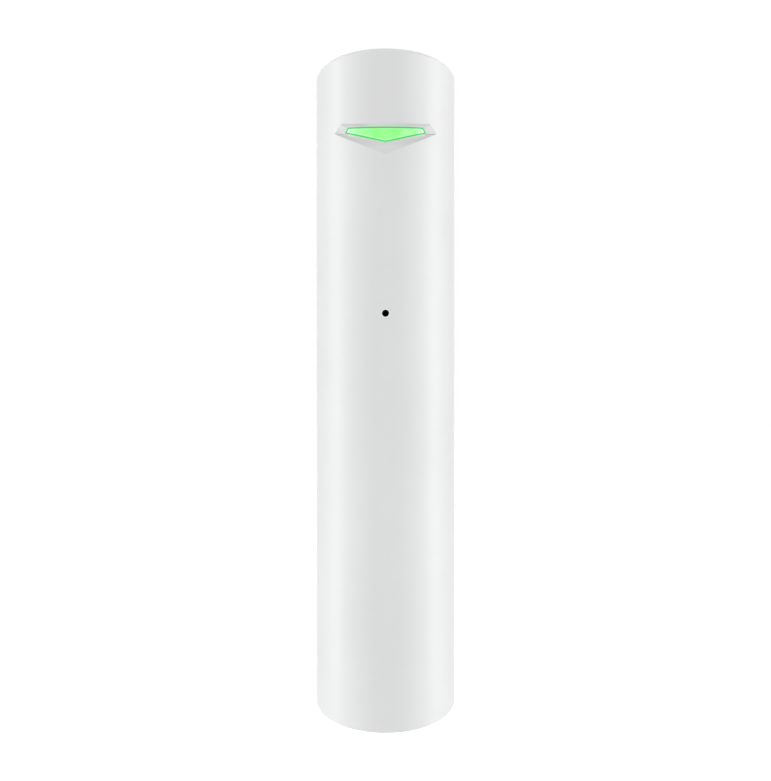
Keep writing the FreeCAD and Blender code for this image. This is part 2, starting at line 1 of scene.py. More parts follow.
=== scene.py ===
import json
import math
import bmesh
import bpy
import numpy as np
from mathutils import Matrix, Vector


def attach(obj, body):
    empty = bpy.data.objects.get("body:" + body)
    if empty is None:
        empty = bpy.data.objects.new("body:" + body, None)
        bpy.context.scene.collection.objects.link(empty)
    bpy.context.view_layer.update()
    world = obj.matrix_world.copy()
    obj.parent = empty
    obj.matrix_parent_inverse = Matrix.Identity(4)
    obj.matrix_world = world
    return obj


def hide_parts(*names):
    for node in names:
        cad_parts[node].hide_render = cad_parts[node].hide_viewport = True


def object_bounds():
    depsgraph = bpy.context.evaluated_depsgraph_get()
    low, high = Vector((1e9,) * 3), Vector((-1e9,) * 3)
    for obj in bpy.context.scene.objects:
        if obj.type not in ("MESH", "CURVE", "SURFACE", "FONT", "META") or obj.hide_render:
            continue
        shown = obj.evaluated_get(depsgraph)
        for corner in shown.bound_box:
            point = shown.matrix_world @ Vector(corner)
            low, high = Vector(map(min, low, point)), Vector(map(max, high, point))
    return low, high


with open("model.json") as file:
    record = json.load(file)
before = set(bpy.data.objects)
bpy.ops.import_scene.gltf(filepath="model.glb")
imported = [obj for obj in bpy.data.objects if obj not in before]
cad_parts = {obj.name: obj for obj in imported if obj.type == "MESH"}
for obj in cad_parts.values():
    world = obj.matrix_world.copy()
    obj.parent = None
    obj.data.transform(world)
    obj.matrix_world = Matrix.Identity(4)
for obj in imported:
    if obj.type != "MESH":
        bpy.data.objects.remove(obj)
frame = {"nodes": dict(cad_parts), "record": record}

cadLow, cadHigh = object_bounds()
scene = bpy.context.scene
mm = 0.001
print("frame loaded:", len(frame["nodes"]), "nodes")


# Shader maths

class Signal:
    # Wraps a node socket, so that sums on surfaces read as plain expressions
    def __init__(self, tree, socket=None):
        self.tree = tree
        self.socket = socket

    # Adds any node: its type, its settings, then the values or links of its sockets
    def node(self, kind, settings=None, inputs=None, output=0):
        made = self.tree.nodes.new(kind)
        for name, value in (settings or {}).items():
            setattr(made, name, value)
        for name, value in (inputs or {}).items():
            if isinstance(value, Signal):
                self.tree.links.new(value.socket, made.inputs[name])
            else:
                made.inputs[name].default_value = value
        return Signal(self.tree, made.outputs[output])

    def maths(self, operation, *values):
        return self.node("ShaderNodeMath", {"operation": operation}, dict(enumerate(values)))

    def __add__(self, other):
        return self.maths("ADD", self, other)

    def __radd__(self, other):
        return self.maths("ADD", other, self)

    def __sub__(self, other):
        return self.maths("SUBTRACT", self, other)

    def __rsub__(self, other):
        return self.maths("SUBTRACT", other, self)

    def __mul__(self, other):
        return self.maths("MULTIPLY", self, other)

    def __rmul__(self, other):
        return self.maths("MULTIPLY", other, self)

    def __truediv__(self, other):
        return self.maths("DIVIDE", self, other)

    def __abs__(self):
        return self.maths("ABSOLUTE", self)

    def least(self, other):
        return self.maths("MINIMUM", self, other)

    def most(self, other):
        return self.maths("MAXIMUM", self, other)

    def root(self):
        return self.maths("SQRT", self)

    def floor(self):
        return self.maths("FLOOR", self)

    # Straight distance to a point that lies this far along one axis and that far along another
    def diagonal(self, other):
        return (self * self + other * other).root()

    # What is left over when the value is counted off in steps, from 0 to 1
    def within(self, step):
        return self.maths("FRACT", self / step)

    # Rises from 0 to 1 as the value goes from low to high
    def rise(self, low, high):
        return self.node("ShaderNodeMapRange", {"interpolation_type": "SMOOTHSTEP"},
                         {"Value": self, "From Min": low, "From Max": high})

    # Falls from 1 to 0 as the value goes from low to high
    def fall(self, low, high):
        return 1 - self.rise(low, high)

    def axes(self):
        split = self.node("ShaderNodeSeparateXYZ", inputs={"Vector": self})
        outputs = split.socket.node.outputs
        return [Signal(self.tree, outputs[i]) for i in range(3)]

    def noise(self, size, detail=2.0, roughness=0.5):
        sockets = {"Vector": self, "Scale": 1 / size, "Detail": detail, "Roughness": roughness}
        return self.node("ShaderNodeTexNoise", inputs=sockets)

    # Blends from one colour to another, each of them fixed or a signal of its own. The blend
    # node has sockets of the same name for every kind of value, so the colour's go by number
    def mixed(self, first, second):
        first, second = (c if isinstance(c, Signal) else (*c, 1.0) for c in (first, second))
        sockets = {0: self, 6: first, 7: second}
        return self.node("ShaderNodeMix", {"data_type": "RGBA"}, sockets, output=2)


# A new material, its shader node and its object coordinates
def startMaterial(name, **sockets):
    material = bpy.data.materials.new(name)
    material.use_nodes = True
    tree = material.node_tree
    shader = tree.nodes["Principled BSDF"]
    for label, value in sockets.items():
        shader.inputs[label.replace("_", " ")].default_value = value
    place = Signal(tree).node("ShaderNodeTexCoord", output="Object")
    return material, shader, place


# The shader node of a material made before, its colour so far and its object coordinates
def reopened(material):
    tree = material.node_tree
    shader = tree.nodes["Principled BSDF"]
    tone = Signal(tree, shader.inputs["Base Color"].links[0].from_socket)
    return shader, tone, tone.node("ShaderNodeTexCoord", output="Object")


def feed(shader, label, signal):
    signal.tree.links.new(signal.socket, shader.inputs[label])


def feedBump(shader, height, depth):
    normal = height.node("ShaderNodeBump", inputs={"Height": height, "Distance": depth})
    feed(shader, "Normal", normal)


# Moulded plastic: a fine noise for the grain of the bump and the gloss, and a slow one that
# drifts the tone and the gloss a little
plasticFacts = {
    "index": 1.49,
    "driftSize": 14 * mm,
    "driftStep": (0.3, 0.7),
    "grainSize": 0.16 * mm,
    "grainRough": 0.6,
    "grainDepth": 0.006 * mm,
    "grainGloss": 0.06,
    "driftGloss": 0.03,
}


def mouldedPlastic(name, colour, roughness, grain=plasticFacts["grainSize"], drift=0.012,
                   shine=0.5):
    f = plasticFacts
    material, shader, place = startMaterial(name, IOR=f["index"], Specular_IOR_Level=shine)
    slow = place.noise(f["driftSize"], detail=3.0)
    fine = place.noise(grain, roughness=f["grainRough"])
    low = tuple(c * (1 - drift) for c in colour)
    high = tuple(min(1.0, c * (1 + drift)) for c in colour)
    feed(shader, "Base Color", slow.rise(*f["driftStep"]).mixed(low, high))
    middle = roughness - f["grainGloss"] / 2
    feed(shader, "Roughness", middle + f["grainGloss"] * fine + f["driftGloss"] * slow)
    feedBump(shader, fine, f["grainDepth"])
    return material


# Pocket in the cover's front, in mm as the front view shows it: the two folds on each side, as
# the point where they leave the lens and their slope, and the tone of each wall, which is painted
# light and shade
pocketFacts = {
    "axisY": -11.0,
    "radius": 10.0,
    "front": (-5.5, -5.4),
    "low": (30.75, 30.77),
    "high": (35.80, 35.82),
    "mouth": (0.015, 0.05),
    "floor": (1.05, 1.10),
    "topFold": (5.06, 35.41, 3.6),
    "lowFold": (5.51, 34.75, -0.094),
    "foldEdge": (-0.02, 0.02),
    "lowReach": (0.1, 0.8),
    "topReach": (2.0, 4.0),
    "endReach": (0.2, 1.1),
    "creaseFrom": (4.91, 5.51),
    "creaseDrop": 0.19,
    "creaseWidth": (0.07, 0.15),
    # Painted tones: light on the end and lower walls, shade on the top wall and in the crease
    "ends": (0.94, 0.945, 0.945),
    "lower": (0.92, 0.925, 0.925),
    "top": (0.73, 0.735, 0.735),
    "paintedCreaseShade": (0.60, 0.605, 0.605),
}


# Painted light and shade on the pocket's walls: the two folds on each side split the walls into
# top, end and lower ones. The end and lower walls are paler, painted light, the end ones more so
# outwards and the lower ones with their depth under the tube. The top wall is greyer outwards,
# painted shade, and a thin dark line of painted shade runs in the crease below the lower fold
def paintedPocketShading(tone, across, level, up):
    f = pocketFacts
    away = level - f["axisY"]
    depth = f["radius"] - across.diagonal(away)
    inPocket = depth.rise(*f["mouth"]) * depth.fall(*f["floor"]) * away.fall(*f["front"])
    inPocket = inPocket * up.rise(*f["low"]) * up.fall(*f["high"])
    lowX, lowZ, lowSlope = f["lowFold"]
    under = lowZ + (across - lowX).most(0) * lowSlope - up
    topX, topZ, topSlope = f["topFold"]
    outer = across - topX - ((up - topZ) * topSlope).most(0)
    lower = under.rise(*f["foldEdge"])
    ends = outer.rise(*f["foldEdge"]) * (1 - lower)
    top = (1 - lower) * (1 - ends) * across.rise(*f["topReach"])
    paintedCreaseShade = abs(under - f["creaseDrop"]).fall(*f["creaseWidth"]) * across.rise(*f["creaseFrom"])
    # Painted shade on the top wall, painted light on the end and lower walls, painted shade in the
    # crease
    tone = (top * inPocket).mixed(tone, f["top"])
    tone = (ends * inPocket * outer.rise(*f["endReach"])).mixed(tone, f["ends"])
    tone = (lower * inPocket * depth.rise(*f["lowReach"])).mixed(tone, f["lower"])
    return (paintedCreaseShade * inPocket).mixed(tone, f["paintedCreaseShade"])


# Shell plastic: moulded grain, the painted light and shade of the pocket's walls, painted shade
# in black inside the microphone's pinhole, a paler ring round it as a painted highlight, and a
# dark line down in the groove between the covers, partly dust and partly painted shade: the
# band about the seam's level, times how far the point lies below the outer face
shellFacts = {
    "colour": (0.826, 0.83, 0.83),
    "roughness": 0.42,
    "halfWidth": 10.0,
    "halfHeight": 45.0,
    "pinholeHeight": 10.15,
    "pinholeEdge": (0.465, 0.475),
    "pinholeFront": (-19.5, -19.1),
    # Black inside the pinhole: painted shade
    "pinhole": (0.002, 0.002, 0.002),
    "rimEdge": (0.54, 0.60),
    # Paler ring round the pinhole: a painted highlight
    "rim": (0.97, 0.97, 0.97),
    "seam": -8.0,
    "seamEdge": (0.123, 0.13),
    "grooveTop": (0.01, 0.16),
    "grooveEnd": (0.22, 0.26),
    # Dark line in the seam's groove: partly dust, partly painted shade
    "dustAndShade": (0.22, 0.22, 0.215),
    "dustAndShadeShare": 0.8,
}


def shellPlastic():
    f = shellFacts
    material = mouldedPlastic("whiteShell", f["colour"], f["roughness"])
    shader, tone, place = reopened(material)
    x, y, z = place.axes()
    across, level, up = abs(x) / mm, y / mm, z / mm
    reach = across.diagonal(up - f["pinholeHeight"])
    front = level.fall(*f["pinholeFront"])
    band = abs(level - f["seam"]).fall(*f["seamEdge"])
    below = (f["halfWidth"] - across).least(f["halfHeight"] - abs(up))
    # Dark line in the seam's groove: partly dust, partly painted shade
    groove = band * below.rise(*f["grooveTop"]) * below.fall(*f["grooveEnd"]) * f["dustAndShadeShare"]
    tone = groove.mixed(paintedPocketShading(tone, across, level, up), f["dustAndShade"])
    # Paler ring round the pinhole: a painted highlight
    tone = (reach.fall(*f["rimEdge"]) * front).mixed(tone, f["rim"])
    # Black inside the pinhole: painted shade
    tone = (reach.fall(*f["pinholeEdge"]) * front).mixed(tone, f["pinhole"])
    feed(shader, "Base Color", tone)
    return material


# Metal: a noise stretched along one axis for fine drawn lines, and a soft one for dull patches
metalFacts = {
    "stretch": (1.0, 1.0, 12.0),
    "lineSize": 0.5 * mm,
    "lineDepth": 0.004 * mm,
    "lineGloss": 0.14,
    "patchSize": 2.2 * mm,
    "patchStep": (0.35, 0.7),
    "patchGloss": 0.08,
    "dull": 0.82,
}


def drawnMetal(name, colour, roughness, stretch=metalFacts["stretch"], size=metalFacts["lineSize"]):
    f = metalFacts
    material, shader, place = startMaterial(name, Metallic=1.0)
    stretched = place.node("ShaderNodeMapping", inputs={"Vector": place, "Scale": stretch})
    lines = stretched.noise(size, detail=3.0)
    patches = place.noise(f["patchSize"])
    dull = tuple(c * f["dull"] for c in colour)
    feed(shader, "Base Color", patches.rise(*f["patchStep"]).mixed(dull, colour))
    gloss = roughness + f["lineGloss"] * (lines - 0.5) + f["patchGloss"] * patches
    feed(shader, "Roughness", gloss)
    feedBump(shader, lines, f["lineDepth"])
    return material


# Camera: level, straight in front, as near as the photograph's perspective shows
view = {
    "distance": 97.75 * mm,
    "tubeAxisY": -11.0 * mm,
    "focalPixels": 671.2,
    "framePixels": 781,
    "sensor": 36.0,
    "height": 0.045 * mm,
    "nearest": 0.001,
    "farthest": 20.0,
}


def placeCamera():
    data = bpy.data.cameras.new("camera")
    data.sensor_width = view["sensor"]
    data.lens = view["sensor"] * view["focalPixels"] / view["framePixels"]
    data.clip_start = view["nearest"]
    data.clip_end = view["farthest"]
    camera = bpy.data.objects.new("camera", data)
    scene.collection.objects.link(camera)
    camera.location = (0, view["tubeAxisY"] - view["distance"], view["height"])
    camera.rotation_euler = (math.pi / 2, 0, 0)
    scene.camera = camera


# Studio in metres: two tall soft boxes at the sides, one in front, one behind, one overhead, and
# a pale floor. Angles go round the tube from its front, lifts are above the level of its middle
studio = {
    "softBoxes": {
        "left": {"angle": -85, "lift": 0, "distance": 0.40, "size": (0.12, 0.80), "power": 1.50},
        "right": {"angle": 85, "lift": 0, "distance": 0.40, "size": (0.12, 0.80), "power": 1.50},
        "front": {"angle": 0, "lift": 0, "distance": 0.40, "size": (0.12, 0.56), "power": 0.92},
        "top": {"angle": 0, "lift": 89, "distance": 1.00, "size": (0.50, 0.50), "power": 2.55},
        "back": {"angle": 180, "lift": 0, "distance": 0.40, "size": (0.30, 0.80), "power": 1.20},
    },
    "roomLevel": 0.02,
    "floorSize": 8.0,
    "floorDrop": 200 * mm,
    "floorRoughness": 0.9,
    "floorGrain": 60 * mm,
    "floorStep": (0.3, 0.7),
    "floorTones": ((0.58, 0.58, 0.58), (0.60, 0.60, 0.60)),
    "floorLift": 1.0,
    # Glow of the floor to diffuse rays, which lights the object from below
    "floorUpGlow": 0.20,
    "shadowLift": 0.45,
    "shadowReach": (15 * mm, 200 * mm),
}


def addSoftBox(name, facts):
    data = bpy.data.lights.new(name, "AREA")
    data.shape = "RECTANGLE"
    data.size, data.size_y = facts["size"]
    data.energy = facts["power"]
    lamp = bpy.data.objects.new(name, data)
    scene.collection.objects.link(lamp)
    turn = math.radians(facts["angle"])
    lift = math.radians(facts["lift"])
    reach = facts["distance"] * math.cos(lift)
    lamp.location = (math.sin(turn) * reach, view["tubeAxisY"] - math.cos(turn) * reach,
                     facts["distance"] * math.sin(lift))
    lamp.rotation_euler = (math.pi / 2 - lift, 0, turn)


# Rays that see the background: from the camera, off gloss and metal, and through clear plastic
def seenRays(place):
    camera = place.node("ShaderNodeLightPath", output="Is Camera Ray")
    glossy = place.node("ShaderNodeLightPath", output="Is Glossy Ray")
    through = place.node("ShaderNodeLightPath", output="Is Transmission Ray")
    return camera.most(glossy.most(through))


def lightStudio():
    for name, facts in studio["softBoxes"].items():
        addSoftBox(name + "SoftBox", facts)
    world = bpy.data.worlds.new("room")
    world.use_nodes = True
    scene.world = world
    tree = world.node_tree
    room = tree.nodes["Background"]
    level = seenRays(Signal(tree)) * (1 - studio["roomLevel"]) + studio["roomLevel"]
    room.inputs["Color"].default_value = (1, 1, 1, 1)
    tree.links.new(level.socket, room.inputs["Strength"])


# Floor: a pale sheet. Rays that see the background find it lifted to white, and less so near
# the spot under the object, where its shadow shows and the lesser lift leaves a faint grey patch
# of painted shadow. To diffuse rays it also glows, which lights the object from below as a bounce
def layFloor():
    f = studio
    half = f["floorSize"] / 2
    level = cadLow[2] - f["floorDrop"]
    mesh = bpy.data.meshes.new("floor")
    sides = [(-half, -half), (half, -half), (half, half), (-half, half)]
    mesh.from_pydata([(x, y, level) for x, y in sides], [], [(0, 1, 2, 3)])
    floor = bpy.data.objects.new("floor", mesh)
    scene.collection.objects.link(floor)
    material, shader, place = startMaterial("paleFloor", Roughness=f["floorRoughness"])
    grain = place.noise(f["floorGrain"]).rise(*f["floorStep"])
    feed(shader, "Base Color", grain.mixed(*f["floorTones"]))
    diffuse = place.node("ShaderNodeLightPath", output="Is Diffuse Ray")
    x, y, z = place.axes()
    clear = x.diagonal(y - view["tubeAxisY"]).rise(*f["shadowReach"])
    # Less lift near the spot under the object: its real shadow shows there, with a faint painted
    # grey patch
    seen = f["shadowLift"] + (f["floorLift"] - f["shadowLift"]) * clear
    lift = seenRays(place) * seen + diffuse * f["floorUpGlow"]
    shader.inputs["Emission Strength"].default_value = 1.0
    feed(shader, "Emission Color", lift.mixed((0, 0, 0), (1, 1, 1)))
    material.cycles.emission_sampling = "NONE"
    mesh.materials.append(material)


placeCamera()
lightStudio()
layFloor()
print("camera, lights and floor placed")


# Lens outline in mm, as the front view shows it, and the tones of its glow and of the painted
# reflections in it
lensFacts = {
    "radius": 9.0,
    "topMiddle": 34.95,
    "topCorner": (5.06, 35.41),
    "sideCorner": (5.51, 34.75),
    "apex": 32.88,
    "edgeFall": 0.36,
    "border": (0.15, 0.28),
    "topBorder": (0.15, 0.35),
    "borderGlow": (0.02, 0.68, 0.09),
    "topBorderGlow": (0.03, 0.66, 0.14),
    "middleGlow": (0.26, 0.93, 0.22),
    # Paler streaks outwards: painted reflection
    "reflectionGlow": (0.44, 0.96, 0.42),
    "reflectionFrom": (1.3, 2.8),
    "streakShare": 0.65,
    "streakSize": 0.9 * mm,
    "streakStep": (0.34, 0.62),
    "streakTurn": (0, 0.35, 0),
    "streakStretch": (1, 1, 2.2),
    "lineGlow": (0.70, 0.98, 0.62),
    "lineReach": (0.26, 0.40),
    "lineShare": 0.3,
    "lowLineShare": 0.6,
    # White glint at each end: painted reflection
    "glint": (0.97, 1.0, 0.96),
    "glintReach": (0.38, 0.56),
    "armWidth": (0.30, 0.42),
    "armReach": (0.80, 1.35),
    # White light that the lens sends to diffuse and glossy rays: a hidden lamp for the pocket's
    # walls
    "wallGlow": (0.45, 0.45, 0.45),
    "endGlow": (1.0, 1.0, 1.0),
    "endReach": (3.0, 5.0),
    "resin": (0.012, 0.05, 0.014),
    "index": 1.49,
    "shine": 0.3,
    "roughness": 0.28,
    "grainGloss": 0.10,
    "grainSize": 0.4 * mm,
}


# Gaps in mm from a point of the lens to its top, lower and end edges. The top edge is a
# parabola, the lower one lies in a plane that falls towards the front, the end one is straight
def lensGaps(across, up):
    f = lensFacts
    cornerX, cornerZ = f["topCorner"]
    sideX, sideZ = f["sideCorner"]
    top = f["topMiddle"] + (cornerZ - f["topMiddle"]) / cornerX ** 2 * across * across - up
    depth = f["radius"] - (f["radius"] ** 2 - across * across).root()
    sideDepth = f["radius"] - math.sqrt(f["radius"] ** 2 - sideX ** 2)
    slope = (sideZ - f["apex"] - f["edgeFall"] * sideDepth) / sideX
    low = (up - f["apex"] - slope * across - f["edgeFall"] * depth) * math.cos(math.atan(slope))
    lean = (sideX - cornerX) / (cornerZ - sideZ)
    end = (sideX - lean * (up - sideZ) - across) * math.cos(math.atan(lean))
    return top, low, end


# Lit lens: the gap to the nearest edge of the outline darkens the border. Outwards from the
# middle the glow turns paler in soft slanting streaks, a painted reflection, a pale line runs
# along inside the border, and a white glint, a painted reflection, stands at each end with short
# arms along the top and lower edges. Diffuse and glossy rays find white light in place of the
# glow, more of it towards the ends, as a hidden lamp that lights the pocket's walls
def litLens():
    f = lensFacts
    optics = {"IOR": f["index"], "Specular_IOR_Level": f["shine"]}
    material, shader, place = startMaterial("litLens", **optics)
    x, y, z = place.axes()
    across = abs(x) / mm
    topGap, lowGap, endGap = lensGaps(across, z / mm)
    gap = topGap.least(lowGap).least(endGap)
    slant = {"Vector": place, "Rotation": f["streakTurn"], "Scale": f["streakStretch"]}
    slanted = place.node("ShaderNodeMapping", inputs=slant)
    # Paler slanting streaks outwards: painted reflection
    streaks = slanted.noise(f["streakSize"], detail=1.0).rise(*f["streakStep"])
    share = across.rise(*f["reflectionFrom"]) * (1 - f["streakShare"] + f["streakShare"] * streaks)
    pale = share.mixed(f["middleGlow"], f["reflectionGlow"])
    line = gap.fall(*f["lineReach"]) * f["lineShare"]
    lowLine = lowGap.fall(*f["lineReach"]) * f["lowLineShare"]
    pale = line.most(lowLine).mixed(pale, f["lineGlow"])
    # White glint and arms at each end: painted reflection
    arms = topGap.least(lowGap).fall(*f["armWidth"]) * endGap.fall(*f["armReach"])
    glint = arms.most(endGap.fall(*f["glintReach"]))
    border = topGap.fall(*f["topBorder"]).mixed(f["borderGlow"], f["topBorderGlow"])
    glow = gap.rise(*f["border"]).mixed(border, glint.mixed(pale, f["glint"]))
    # Diffuse and glossy rays get white light instead of the glow, more by the ends: a hidden lamp
    diffuse = place.node("ShaderNodeLightPath", output="Is Diffuse Ray")
    glossy = place.node("ShaderNodeLightPath", output="Is Glossy Ray")
    spill = across.rise(*f["endReach"]).mixed(f["wallGlow"], f["endGlow"])
    feed(shader, "Emission Color", (diffuse + glossy).mixed(glow, spill))
    material.cycles.emission_sampling = "NONE"
    shader.inputs["Emission Strength"].default_value = 1.0
    shader.inputs["Base Color"].default_value = (*f["resin"], 1.0)
    feed(shader, "Roughness", f["roughness"] + f["grainGloss"] * place.noise(f["grainSize"]))
    return material


# Bracket plastic: moulded grain, with the faint sunk discs that ejector pins leave: the distance
# to a grid of points, stepped up and down the plate and mirrored about its middle, with a low
# ridge round each disc
bracketFacts = {
    "colour": (0.76, 0.76, 0.755),
    "roughness": 0.5,
    "pinStep": 17.0,
    "pinStart": 1.0,
    "pinSide": 5.0,
    "discEdge": (0.70, 0.80),
    "ridgeEdge": (0.80, 0.90),
    "grainHeight": 0.15,
    "plateHeight": 0.6,
    "ridgeHeight": 0.5,
    "depth": 0.03 * mm,
}


def bracketPlastic():
    f = bracketFacts
    material = mouldedPlastic("bracketPlastic", f["colour"], f["roughness"])
    shader, tone, place = reopened(material)
    x, y, z = place.axes()
    aside = abs(x) / mm - f["pinSide"]
    along = ((z / mm - f["pinStart"]).within(f["pinStep"]) - 0.5) * f["pinStep"]
    gap = aside.diagonal(along)
    plate = gap.rise(*f["discEdge"])
    ridge = plate * gap.fall(*f["ridgeEdge"])
    grain = place.noise(plasticFacts["grainSize"], roughness=plasticFacts["grainRough"])
    height = grain * f["grainHeight"] + plate * f["plateHeight"] + ridge * f["ridgeHeight"]
    feedBump(shader, height, f["depth"])
    return material


# Board: green laminate, counted off in lanes across and in runs along each lane. A lighter
# track lies in the middle of a run, and a tinned ring round a plated hole, painted near black as
# its shade, stands at its start. A number worked out from lane and run decides which runs have
# them
boardFacts = {
    "index": 1.5,
    "mask": (0.012, 0.105, 0.040),
    "track": (0.022, 0.165, 0.065),
    "tin": (0.62, 0.61, 0.58),
    "holeShade": (0.004, 0.006, 0.004),
    "lane": 0.9,
    "run": 5.2,
    "laneShift": 2.37,
    "laneChance": 0.731,
    "runChance": 0.417,
    "trackShare": (0.58, 0.60),
    "holeShare": (0.30, 0.32),
    "trackWidth": (0.10, 0.14),
    "trackStart": (0.30, 0.35),
    "trackStop": (4.70, 4.75),
    "holeStart": 0.3,
    "holeEdge": (0.12, 0.16),
    "ringStart": (0.14, 0.18),
    "ringStop": (0.28, 0.32),
    "weaveSize": 0.35 * mm,
    "roughness": 0.30,
    "weaveGloss": 0.12,
    "trackGloss": 0.05,
    "weaveHeight": 0.15,
    "depth": 0.03 * mm,
}


def boardLaminate():
    f = boardFacts
    material, shader, place = startMaterial("boardLaminate", IOR=f["index"])
    x, y, z = place.axes()
    across = x / mm
    laneNumber = (across / f["lane"]).floor()
    shifted = z / mm + (laneNumber * f["laneShift"]).within(1.0) * f["run"]
    runNumber = (shifted / f["run"]).floor()
    chance = (laneNumber * f["laneChance"] + runNumber * f["runChance"]).within(1.0)
    fromMiddle = abs(across.within(f["lane"]) - 0.5) * f["lane"]
    along = shifted.within(f["run"]) * f["run"]
    track = fromMiddle.fall(*f["trackWidth"]) * chance.fall(*f["trackShare"])
    track = track * along.rise(*f["trackStart"]) * along.fall(*f["trackStop"])
    fromHole = fromMiddle.diagonal(along - f["holeStart"])
    used = chance.fall(*f["holeShare"])
    ring = fromHole.rise(*f["ringStart"]) * fromHole.fall(*f["ringStop"]) * used
    hole = fromHole.fall(*f["holeEdge"]) * used
    weave = place.noise(f["weaveSize"], detail=3.0)
    green = track.mixed(f["mask"], f["track"])
    # The plated hole is painted near black: painted shade
    feed(shader, "Base Color", hole.mixed(ring.mixed(green, f["tin"]), f["holeShade"]))
    feed(shader, "Metallic", ring)
    gloss = f["roughness"] + f["weaveGloss"] * weave - f["trackGloss"] * track
    feed(shader, "Roughness", gloss)
    feedBump(shader, track.most(ring) - hole + f["weaveHeight"] * weave, f["depth"])
    return material


# Cell: between two heights a printed sleeve, whose upper part is a paler band, over a steel can
# that shows at both ends
cellFacts = {
    "index": 1.5,
    "sleeve": (0.02, 0.055, 0.20),
    "band": (0.60, 0.61, 0.63),
    "steel": (0.66, 0.65, 0.62),
    "sleeveLow": (-39.92, -39.88),
    "sleeveHigh": (-7.32, -7.28),
    "bandLow": (-14.55, -14.45),
    "grainSize": 0.6 * mm,
    "roughness": 0.22,
    "grainGloss": 0.14,
    "sleeveHeight": 2.0,
    "depth": 0.004 * mm,
}


def cellWrap():
    f = cellFacts
    material, shader, place = startMaterial("cellWrap", IOR=f["index"])
    x, y, z = place.axes()
    up = z / mm
    sleeve = up.rise(*f["sleeveLow"]) * up.fall(*f["sleeveHigh"])
    fine = place.noise(f["grainSize"], detail=3.0)
    printed = up.rise(*f["bandLow"]).mixed(f["sleeve"], f["band"])
    feed(shader, "Base Color", sleeve.mixed(f["steel"], printed))
    feed(shader, "Metallic", 1 - sleeve)
    feed(shader, "Roughness", f["roughness"] + f["grainGloss"] * fine)
    feedBump(shader, fine + f["sleeveHeight"] * sleeve, f["depth"])
    return material


# Chip package: dull grainy epoxy with a smooth round mark sunk beside one corner
chipFacts = {
    "index": 1.5,
    "colour": (0.018, 0.018, 0.018),
    "pale": (0.03, 0.03, 0.031),
    "paleStep": (0.3, 0.7),
    "mark": (-1.75, 26.75),
    "markEdge": (0.26, 0.30),
    "grainSize": 0.12 * mm,
    "roughness": 0.55,
    "grainGloss": 0.1,
    "markGloss": 0.25,
    "grainHeight": 0.2,
    "depth": 0.04 * mm,
}


def chipEpoxy():
    f = chipFacts
    material, shader, place = startMaterial("chipEpoxy", IOR=f["index"])
    x, y, z = place.axes()
    markX, markZ = f["mark"]
    mark = (x / mm - markX).diagonal(z / mm - markZ).fall(*f["markEdge"])
    grain = place.noise(f["grainSize"])
    feed(shader, "Base Color", grain.rise(*f["paleStep"]).mixed(f["colour"], f["pale"]))
    feed(shader, "Roughness", f["roughness"] + f["grainGloss"] * grain - f["markGloss"] * mark)
    feedBump(shader, f["grainHeight"] * grain - mark, f["depth"])
    return material


# Can metal: drawn tin plate. The shield's lid has rows of vent holes, painted as dark dots of
# shade: the distance to a grid of points, on the part of the lid inside the margins
canMetalFacts = {
    "colour": (0.50, 0.50, 0.49),
    "roughness": 0.36,
    "lid": (-9.58, -9.56),
    "middle": 32.85,
    "step": 1.5,
    "holeEdge": (0.29, 0.34),
    "wideEdge": (4.49, 4.50),
    "highEdge": (2.89, 2.90),
    "hole": (0.02, 0.02, 0.02),
}


def canMetal():
    f = canMetalFacts
    material = drawnMetal("canMetal", f["colour"], f["roughness"])
    shader, tone, place = reopened(material)
    x, y, z = place.axes()
    up = z / mm - f["middle"]
    aside = ((x / mm).within(f["step"]) - 0.5) * f["step"]
    above = (up.within(f["step"]) - 0.5) * f["step"]
    holes = aside.diagonal(above).fall(*f["holeEdge"])
    inside = (abs(x) / mm).fall(*f["wideEdge"]) * abs(up).fall(*f["highEdge"])
    lid = (y / mm).rise(*f["lid"]) * inside
    # Dark dots for the vent holes: painted shade
    feed(shader, "Base Color", (holes * lid).mixed(tone, f["hole"]))
    return material


# Zinc-plated screws: drawn metal, painted dark in the band of depths that holds the walls
# and the floor of each drive recess, as grime and painted shade
zincFacts = {
    "colour": (0.31, 0.32, 0.34),
    "grimeAndShade": (0.035, 0.034, 0.032),
    "roughness": 0.34,
    "stretch": (1.0, 6.0, 1.0),
    "lineSize": 0.3 * mm,
    "slotWalls": (-4.85, -4.68),
    "slotFloor": (-5.08, -5.03),
    "crossWalls": (-13.12, -12.94),
    "crossFloor": (-12.87, -12.82),
}


def zincSteel():
    f = zincFacts
    material = drawnMetal("zincSteel", f["colour"], f["roughness"], f["stretch"], f["lineSize"])
    shader, tone, place = reopened(material)
    x, y, z = place.axes()
    level = y / mm
    slot = level.rise(*f["slotFloor"]) * level.fall(*f["slotWalls"])
    cross = level.rise(*f["crossWalls"]) * level.fall(*f["crossFloor"])
    # Dark band in the drive recesses: painted shade and grime
    feed(shader, "Base Color", slot.most(cross).mixed(tone, f["grimeAndShade"]))
    return material


